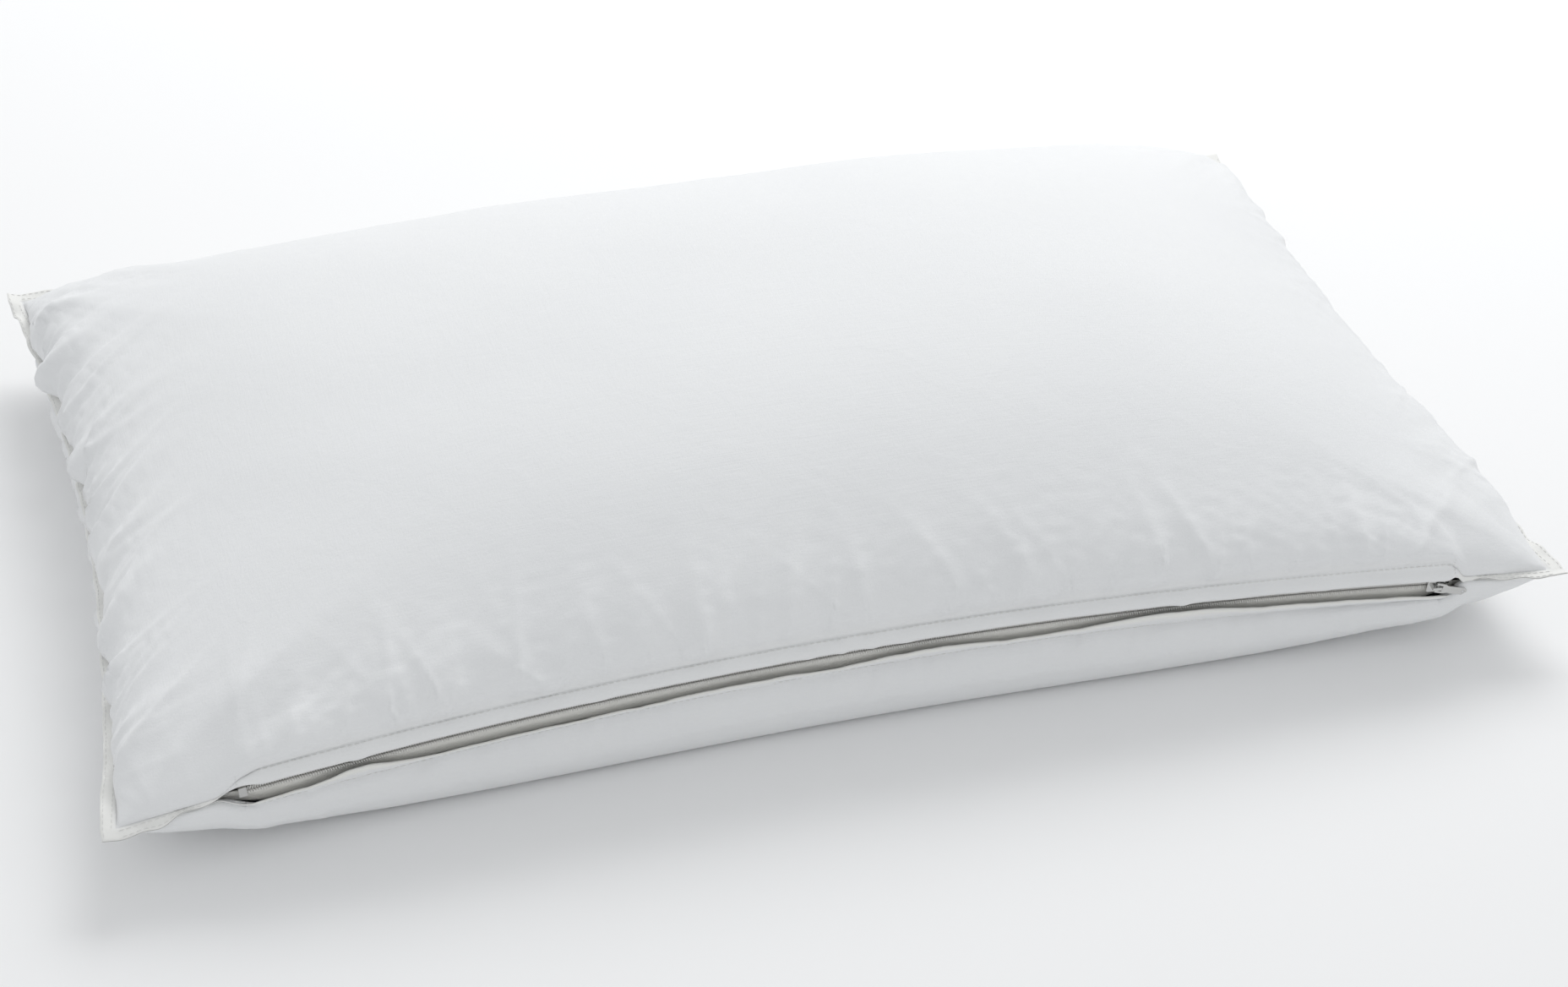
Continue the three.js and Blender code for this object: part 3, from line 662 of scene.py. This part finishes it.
def flangeRows(along, side, reach=1.0):
    # from the seam outwards: share of the width along the outward direction, waving up and down
    slope, seed, notches = edging["sides"][side]
    outward = np.array(slope) * np.broadcast_to(reach, (len(along), 1))
    wave = ripple(along, seed, 9, 0.018, 0.11)
    width = edging["width"] * (1 + 0.06 * ripple(along, seed + 1, 6, 0.01, 0.05))
    for place in notches:
        width = width * (1 - 0.45 * np.exp(-((along - place) / edging["notchWidth"]) ** 2))
    rows = []
    for share in edging["shares"]:
        move = outward * (width * share)[:, None]
        move[:, 2] += wave * edging["wave"] * share ** 1.5
        rows.append(move)
    return rows


def pinch(x):
    # 1 where the underside's folded edge rides up over the teeth and the zip looks shut
    shut = np.zeros_like(x)
    for middle, half, share in edging["pinches"]:
        shut = np.maximum(shut, share * np.exp(-((x - middle) / half) ** 2))
    return shut


def openedRows(seam, profile, seed, edgeMove):
    # the folded edge beside the zip: the profile's (inward, up) points carried along the chain
    x = seam[:, 0]
    sway = ripple(x, seed, 8, 0.02, 0.16)
    tug = ripple(x, seed + 3, 8, 0.012, 0.05)
    folds = np.zeros_like(x)
    for middle, half, deep in edging["tucks"]:
        folds += deep * np.exp(-((x - middle) / half) ** 2)
    below = profile[0][1] < 0
    shut = pinch(x) if below else 0.6 * pinch(x)
    pinchOut = edging["pinchOut"][0 if below else 1]
    pleats = folds * (0.3 if below else 1.0)
    rows = []
    for k, (inward, up) in enumerate(profile):
        hang = np.sin(np.pi * min(k / 4.0, 1.0) / 2)   # 0 at the stitch line, 1 at the folded edge
        out = edging["sway"] * np.abs(sway) * hang + edging["tug"] * tug + shut * hang * pinchOut
        rise = shut * hang * (edging["pinchRise"] if below else 0.0)
        drift = edgeMove(x, sway, tug) * hang * (1 - shut)
        rows.append(chainPoint(x, inward - out - pleats, up + rise + drift) - seam)
    return rows


def flapMove(x, sway, tug):
    # the flap's edge may lift a little, never drop into the slider's way
    return edging["flapSway"] * np.abs(sway) + edging["flapTug"] * tug


def hemMove(x, sway, tug):
    # the hem hangs away from the teeth on the left part of the zip and closes up to the right
    least, start, length = edging["hemLoose"]
    loose = (least + (1 - least) * smoothStep((start - x) / length)) * openness(x)
    return -edging["hemDroop"] * loose * (0.70 + 0.30 * sway) - edging["hemTug"] * np.abs(tug)


def extendPanel(panel, layer, seed):
    # rows added outside each side; a corner's block moves by the sum of its two sides' moves
    rows, columns = panel.shape[:2]
    extra = len(edging["shares"])
    left = flangeRows(panel[0, :, 1], "left")
    right = flangeRows(panel[-1, :, 1], "right")
    back = flangeRows(panel[:, -1, 0], "back")
    seam = panel[:, 0]
    x = seam[:, 0]
    begin, length = edging["frontGrow"]
    tip = smoothStep((np.abs(x) - zipLine["halfLength"] - begin) / length)[:, None]
    atZip, more = edging["frontShare"]
    front = flangeRows(x, "front", atZip + more * tip)
    opened = openness(x)[:, None]
    profile, move = (edging["flap"], flapMove) if layer > 0 else (edging["hem"], hemMove)
    zipRows = openedRows(seam, profile, seed, move)
    front = [f * (1 - opened) + z * opened for f, z in zip(front, zipRows)]
    apart = np.array(edging["gap"])[:, None] * [0, 0, layer]
    closed = 1 - opened
    big = np.zeros((rows + 2 * extra, columns + 2 * extra, 3))
    inner = slice(extra, -extra)
    big[inner, inner] = panel
    for k in range(extra):
        big[extra - 1 - k, inner] = panel[0] + left[k] + apart[k]
        big[extra + rows + k, inner] = panel[-1] + right[k] + apart[k]
        big[inner, extra - 1 - k] = panel[:, 0] + front[k] + apart[k] * closed
        big[inner, extra + columns + k] = panel[:, -1] + back[k] + apart[k]
        for j in range(extra):
            gap = apart[max(k, j)]
            big[extra - 1 - k, extra - 1 - j] = panel[0, 0] + left[k][0] + front[j][0] + gap
            big[extra - 1 - k, extra + columns + j] = panel[0, -1] + left[k][-1] + back[j][0] + gap
            big[extra + rows + k, extra - 1 - j] = panel[-1, 0] + right[k][0] + front[j][-1] + gap
            big[extra + rows + k, extra + columns + j] = panel[-1, -1] + right[k][-1] + back[j][-1] + gap
    return big, extra


creamTint = {"fold": 0.8, "flap": 0.10, "flange": 0.62, "rows": 3.0}


def buildPanel(name, node, panel, layer, seed):
    # one half of the cover with its edging, its map and its cream tint on the turned edges
    big, extra = extendPanel(panel, layer, seed)
    big[..., 2] = np.maximum(big[..., 2], pillowSize["floorGap"])
    rows, columns = big.shape[:2]
    piece = makeMesh(name, big, gridFaces(rows, columns, layer < 0), "pillow")
    i, j = np.meshgrid(np.arange(rows), np.arange(columns), indexing="ij")
    ring = np.minimum(np.minimum(i, rows - 1 - i), np.minimum(j, columns - 1 - j))
    onFlange = smoothStep((extra + 1 - ring) / creamTint["rows"])
    x = big[..., 0]
    beside = (j < extra + 2) & (np.abs(x) < zipLine["halfLength"])
    folded = creamTint["fold"] * ((j > 1) & (j < extra - 2)) if layer < 0 else creamTint["flap"]
    paintValue(piece, "edgeTint", np.where(beside, folded, creamTint["flange"] * onFlange))
    paintMap(piece, big[..., 0], big[..., 1])
    dress(piece, cottonCover, node)
    print(name, "made,", len(piece.data.polygons), "faces")
    return big, extra


upperBig, extra = buildPanel("coverTop", "top_panel", upper, 1, 51)
lowerBig, extra = buildPanel("coverUnderside", "bottom_panel", lower, -1, 57)

stitching = {
    "length": 0.0027, "space": 0.0008, "thick": 0.00042, "sides": 6, "rings": 5,
    "flapStep": 0.35,            # how far down the flap's first step its row is sewn, 0 to 1
    "hemStep": 0.2,
    "endGap": 0.004,             # how far from the zip's ends those two rows stop
    "outerShare": 0.62,          # the two rows on the flange, in shares of its width
    "innerShare": 0.25,
    "tackLength": 0.0009,        # the dense stitches at the zip's two ends
    "tackLeft": -0.3215,
    "tackRight": 0.3255,
    # small moves that bring each row out of its cloth, and the way that its stitches face
    "flapOut": (0, -0.00035, 0.0001), "flapFacing": (0, -0.92, 0.38),
    "hemOut": (0, -0.00025, -0.0001), "hemFacing": (0, -0.9, -0.4),
    "tackOut": (0, -0.0002, 0.0001), "flangeOut": (0, 0, 0.00018),
}


def resample(values, path, step):
    # the values that stand at a path's points, read off at equal steps of arc length along it
    gone = arcLength(path)
    where = (np.arange(int(gone[-1] // step)) + 0.5) * step
    return np.stack([np.interp(where, gone, values[:, k]) for k in range(3)], -1)


def sewRow(name, node, rowsOfPoints, length=None):
    # each stitch is a small closed spindle along the path: rings of radius thick * sqrt(1 - s^2)
    size = stitching
    length = length or size["length"]
    step = length + size["space"]
    blocks = []
    for path, normal in rowsOfPoints:
        middles = resample(path, path, step)
        along = unit(np.gradient(middles, axis=0))
        lift = unit(resample(normal, path, step))
        side = np.cross(along, lift)
        s = np.linspace(-1, 1, size["rings"])
        angle = np.arange(size["sides"]) * 2 * np.pi / size["sides"]
        radius = size["thick"] / 2 * (0.25 + 0.75 * np.sqrt(1 - s ** 2))
        sink = -size["thick"] * 0.55 * s ** 2   # the ends dive into the cloth
        rise = sink[:, None] + radius[:, None] * np.cos(angle)
        spread = radius[:, None] * np.sin(angle)
        points = (middles[:, None, None, :]
                  + along[:, None, None, :] * (s * length / 2)[None, :, None, None]
                  + lift[:, None, None, :] * rise[None, ..., None]
                  + side[:, None, None, :] * spread[None, ..., None])
        blocks.append(points.reshape(-1, 3))
    points = np.concatenate(blocks)
    ringFaces = gridFaces(size["rings"], size["sides"], wrapColumns=True)
    per = size["rings"] * size["sides"]
    starts = np.arange(len(points) // per) * per
    faces = (ringFaces[None] + starts[:, None, None]).reshape(-1, 4)
    # both ends are closed by two quads each
    n = size["sides"]
    caps = np.array([[0, 1, 2, 3], [0, 3, 4, 5], [per - n, per - n + 3, per - n + 2, per - n + 1],
                     [per - n, per - n + 5, per - n + 4, per - n + 3]])
    faces = np.concatenate([faces, (caps[None] + starts[:, None, None]).reshape(-1, 4)])
    piece = makeMesh(name, points, faces, "pillow")
    dress(piece, threadWhite, node)
    print(name, "sewn,", len(starts), "stitches")


def flatNormal(path, vector):
    # the same direction at every point of a path
    return np.tile(np.asarray(vector, float), (len(path), 1))


def sewBesideZip(name, node, big, kind):
    # along the row of grid points at this step of the edging, for the zip's length only
    step = stitching[kind + "Step"]
    keep = np.abs(big[:, extra, 0]) < zipLine["halfLength"] - stitching["endGap"]
    path = big[keep, extra] * (1 - step) + big[keep, extra - 1] * step + stitching[kind + "Out"]
    sewRow(name, node, [(path, flatNormal(path, stitching[kind + "Facing"]))])


sewBesideZip("flapStitching", "flap_topstitch", upperBig, "flap")
sewBesideZip("hemStitching", "hem_topstitch", lowerBig, "hem")


def flangeLoop(share):
    # round the left, back and right flanges and the two short front stretches, on the upper side
    ring = extra * (1 - share) - 0.5
    low = int(np.floor(ring))
    part = ring - low

    def pick(k):
        # the five stretches of the grid's ring k
        last = upperBig.shape[0] - 1 - k, upperBig.shape[1] - 1 - k
        zipFree = np.abs(upperBig[:, k, 0]) > zipLine["halfLength"] + 0.010
        rightFront = upperBig[zipFree & (upperBig[:, k, 0] > 0), k][: -extra or None]
        leftFront = upperBig[zipFree & (upperBig[:, k, 0] < 0), k][extra:]
        return [leftFront[::-1], upperBig[k, k:last[1]], upperBig[k:last[0], last[1]],
                upperBig[last[0], k:last[1]][::-1], rightFront[::-1]]
    near, far = pick(low), pick(low + 1)
    paths = []
    for a, b in zip(near, far):
        n = min(len(a), len(b))
        cut = (len(a) - n) // 2, (len(b) - n) // 2
        paths.append(a[cut[0]:cut[0] + n] * (1 - part) + b[cut[1]:cut[1] + n] * part)
    return [(p + stitching["flangeOut"], flatNormal(p, (0, 0, 1))) for p in paths if len(p) > 3]


def endStitch(name, node, x):
    # a dense row of short stitches down the flap's end, from above its stitch line to its fold
    i = int(np.argmin(np.abs(upperBig[:, extra, 0] - x)))
    path = upperBig[i, 3:extra + 5] + stitching["tackOut"]
    sewRow(name, node, [(path, flatNormal(path, stitching["flapFacing"]))], stitching["tackLength"])


endStitch("barTackLeft", "bar_tack_left", stitching["tackLeft"])
endStitch("barTackRight", "bar_tack_right", stitching["tackRight"])
sewRow("edgeStitchingOuter", "edge_stitch_outer", flangeLoop(stitching["outerShare"]))
sewRow("edgeStitchingInner", "edge_stitch_inner", flangeLoop(stitching["innerShare"]))

zipSize = {
    "start": -0.316, "end": 0.321, "pitch": 0.00127, "wire": 0.00034, "around": 12, "sides": 5,
    "inner": 0.00042, "outer": 0.0024, "front": 0.0002, "back": 0.0017,
    "squareness": 0.75,          # below 1 the loops of the coil flatten
    "plumpness": 0.9,            # radius of the nylon in wire thicknesses
    "tapeEnd": 0.337, "tapeSteps": 420,
    "tuckStart": 0.306, "tuckLength": 0.022,     # where the tape's ends turn in behind the cloth
    "tuckBack": 0.0016, "tuckNarrow": 0.38,
}


def flattened(wave):
    # sine pressed towards a square wave: its size to a power below 1
    return np.sign(wave) * np.abs(wave) ** zipSize["squareness"]


def coilPiece(name, node, side):
    # a flattened helix: up runs between the inner and outer reach, inward between front and back,
    # the two rows half a turn apart so that their loops mesh
    size = zipSize
    turns = int((size["end"] - size["start"]) / size["pitch"])
    t = np.arange(turns * size["around"] + 1) / size["around"]
    angle = 2 * np.pi * t + (0 if side > 0 else np.pi)
    x = size["start"] + t * size["pitch"]
    middle = (size["inner"] + size["outer"]) / 2
    half = (size["outer"] - size["inner"]) / 2 - size["wire"] / 2
    deepMiddle = (size["front"] + size["back"]) / 2
    deepHalf = (size["back"] - size["front"]) / 2 - size["wire"] / 2
    centre = chainPoint(x, deepMiddle - deepHalf * flattened(np.sin(angle)),
                        side * (middle - half * flattened(np.cos(angle))))
    along = unit(np.gradient(centre, axis=0))
    first = unit(np.cross(along, [1.0, 0, 0]))
    second = np.cross(along, first)
    ring = np.arange(size["sides"]) * 2 * np.pi / size["sides"]
    around = first[:, None] * np.cos(ring)[None, :, None] + second[:, None] * np.sin(ring)[None, :, None]
    points = centre[:, None] + size["wire"] * size["plumpness"] * around
    piece = makeMesh(name, points, gridFaces(len(centre), size["sides"], wrapColumns=True), "pillow")
    dress(piece, coilNylon, node)
    print(name, "wound,", turns, "turns")


coilPiece("zipCoilUpper", "zip_coil_upper", 1)
coilPiece("zipCoilLower", "zip_coil_lower", -1)


def tapePiece(name, node, side):
    # a woven strip behind the coil: its profile runs out from the coil, bends up behind the cloth
    # and turns back under itself with the tape's thickness
    profile = np.array([(0.0012, 0.0020), (0.0026, 0.0020), (0.0034, 0.0019), (0.0050, 0.0021),
                        (0.0068, 0.0026), (0.0098, 0.0029), (0.0112, 0.0030),
                        (0.0112, 0.0036), (0.0098, 0.0035), (0.0068, 0.0032), (0.0050, 0.0027),
                        (0.0034, 0.0025), (0.0012, 0.0026)])
    size = zipSize
    x = np.linspace(-size["tapeEnd"], size["tapeEnd"], size["tapeSteps"])
    tuck = smoothStep((np.abs(x[:, None]) - size["tuckStart"]) / size["tuckLength"])
    points = chainPoint(x[:, None], profile[None, :, 1] + size["tuckBack"] * tuck,
                        side * profile[None, :, 0] * (1 - size["tuckNarrow"] * tuck))
    piece = makeMesh(name, points, gridFaces(len(x), len(profile), side < 0, wrapColumns=True), "pillow")
    paintMap(piece, np.tile(x[:, None], (1, len(profile))), np.tile(profile[None, :, 0], (len(x), 1)))
    dress(piece, zipTape, node)


tapePiece("zipTapeUpper", "zip_tape_upper", 1)
tapePiece("zipTapeLower", "zip_tape_lower", -1)
print("zip made")


def finishCad(names, material, bevel):
    # carried-over metal pieces keep their shape and get softened edges
    for name in names:
        piece = nodes[name]
        piece.data.materials.clear()
        piece.data.materials.append(material)
        soften = piece.modifiers.new("soften", "BEVEL")
        soften.width = bevel
        soften.segments = 2
        soften.limit_method = "ANGLE"
        soften.angle_limit = np.radians(35)


finishCad(["slider_body", "pull_tab"], nickel, 0.00015)
finishCad(["top_stop_upper", "top_stop_lower", "bottom_stop"], nickel, 0.0001)

inside = {
    "casing": (0.955, 0.0065),   # share of the cover's plan, and how far it is sunk
    "fill": (0.935, 0.0100),
    "keep": 3,                   # every third point of the cover's grid is enough here
    "slimmer": 0.02,             # what the share across loses to the share along
    "firmness": 0.97,
}


def insidePanels(name, nodeNames, share, sink, material, slot):
    # the unpuckered cover drawn in towards its middle and sunk, upper and lower halves meeting
    # on one rim
    keep = inside["keep"]
    quietUpper, quietLower = (finer(p[::keep, ::keep], 2) for p in (upperBase, lowerBase))
    rimZ = ((quietUpper + quietLower) / 2)[..., 2]
    halves = []
    for panel, direction in ((quietUpper, 1), (quietLower, -1)):
        gap = np.abs(panel[..., 2] - rimZ)
        z = rimZ + direction * np.maximum(gap - sink, 0) * inside["firmness"]
        half = np.stack([panel[..., 0] * share, panel[..., 1] * (share - inside["slimmer"]), z], -1)
        half[0, :, 2], half[-1, :, 2] = rimZ[0], rimZ[-1]
        half[:, 0, 2], half[:, -1, 2] = rimZ[:, 0], rimZ[:, -1]
        half[:, 0, 1] = half[:, 1, 1]
        halves.append(half)
    rows, columns = rimZ.shape
    top, under = gridFaces(rows, columns), gridFaces(rows, columns, True)
    if len(nodeNames) == 2:
        made = [(name + "Top", halves[0], top, nodeNames[0]),
                (name + "Under", halves[1], under, nodeNames[1])]
    else:
        both = np.concatenate([top, under + rows * columns])
        made = [(name, np.stack(halves), both, nodeNames[0])]
    for pieceName, points, faces, node in made:
        piece = makeMesh(pieceName, points, faces, "pillow")
        dress(piece, material, node)


insidePanels("casing", ("inner_casing_top", "inner_casing_bottom"), *inside["casing"], casingTicking,
             "casing_ticking")
insidePanels("filling", ("fill",), *inside["fill"], fibreFill, "fibre_fill")
print("casing and filling made")

studio = {
    "azimuth": -17.4, "elevation": 36.55, "distance": 1.7434, "right": 0.0213, "up": -0.0480,
    "roll": -1.64, "focal": 3683.0, "target": (0.0, 0.0, 0.06), "imageWidth": 1856,
    "world": 0.72, "worldColour": (0.97, 0.985, 1.0, 1), "floorColour": (0.90, 0.90, 0.90, 1),
    "floorHalf": 30,
}
overheadLight = {"place": (0.9, 1.7, 1.9), "target": (0, 0, 0), "size": (1.8, 1.4), "power": 36}


def addCamera():
    # placed on the ray of azimuth and elevation from the target, moved right and up, then rolled
    a, e = np.radians(studio["azimuth"]), np.radians(studio["elevation"])
    back = Vector((np.sin(a) * np.cos(e), -np.cos(a) * np.cos(e), np.sin(e)))
    right = Vector((np.cos(a), np.sin(a), 0))
    up = back.cross(right)
    place = Vector(studio["target"]) + back * studio["distance"] + right * studio["right"] + up * studio["up"]
    roll = Matrix.Rotation(-np.radians(studio["roll"]), 4, "Z")
    turn = Matrix((right, up, back)).transposed().to_4x4() @ roll
    data = bpy.data.cameras.new("camera")
    data.sensor_width = 36
    data.lens = 36 * studio["focal"] / studio["imageWidth"]
    data.clip_end = 50
    camera = bpy.data.objects.new("camera", data)
    camera.matrix_world = Matrix.Translation(place) @ turn
    scene.collection.objects.link(camera)
    scene.camera = camera


def addLight(name, light):
    # a soft rectangle of light at its place, turned to its target
    data = bpy.data.lights.new(name, "AREA")
    data.shape = "RECTANGLE"
    data.size, data.size_y = light["size"]
    data.energy = light["power"]
    lamp = bpy.data.objects.new(name, data)
    lamp.location = light["place"]
    aim = Vector(light["target"]) - Vector(light["place"])
    lamp.rotation_euler = aim.to_track_quat("-Z", "Y").to_euler()
    scene.collection.objects.link(lamp)


addCamera()
floorMesh = bpy.data.meshes.new("studioFloor")
half = studio["floorHalf"]
floorCorners = [(-half, -half, 0), (half, -half, 0), (half, half, 0), (-half, half, 0)]
floorMesh.from_pydata(floorCorners, [], [(0, 1, 2, 3)])
studioFloor = bpy.data.objects.new("studioFloor", floorMesh)
scene.collection.objects.link(studioFloor)
floorMaterial, floorTree, floorShader = newMaterial("studioPaper")
floorShader.inputs["Base Color"].default_value = studio["floorColour"]
floorShader.inputs["Roughness"].default_value = 0.9
floorMesh.materials.append(floorMaterial)
world = bpy.data.worlds.new("studioWorld")
scene.world = world
world.use_nodes = True
world.node_tree.nodes["Background"].inputs[0].default_value = studio["worldColour"]
world.node_tree.nodes["Background"].inputs[1].default_value = studio["world"]
addLight("overhead", overheadLight)
scene.view_settings.view_transform = "Standard"
print("studio made")
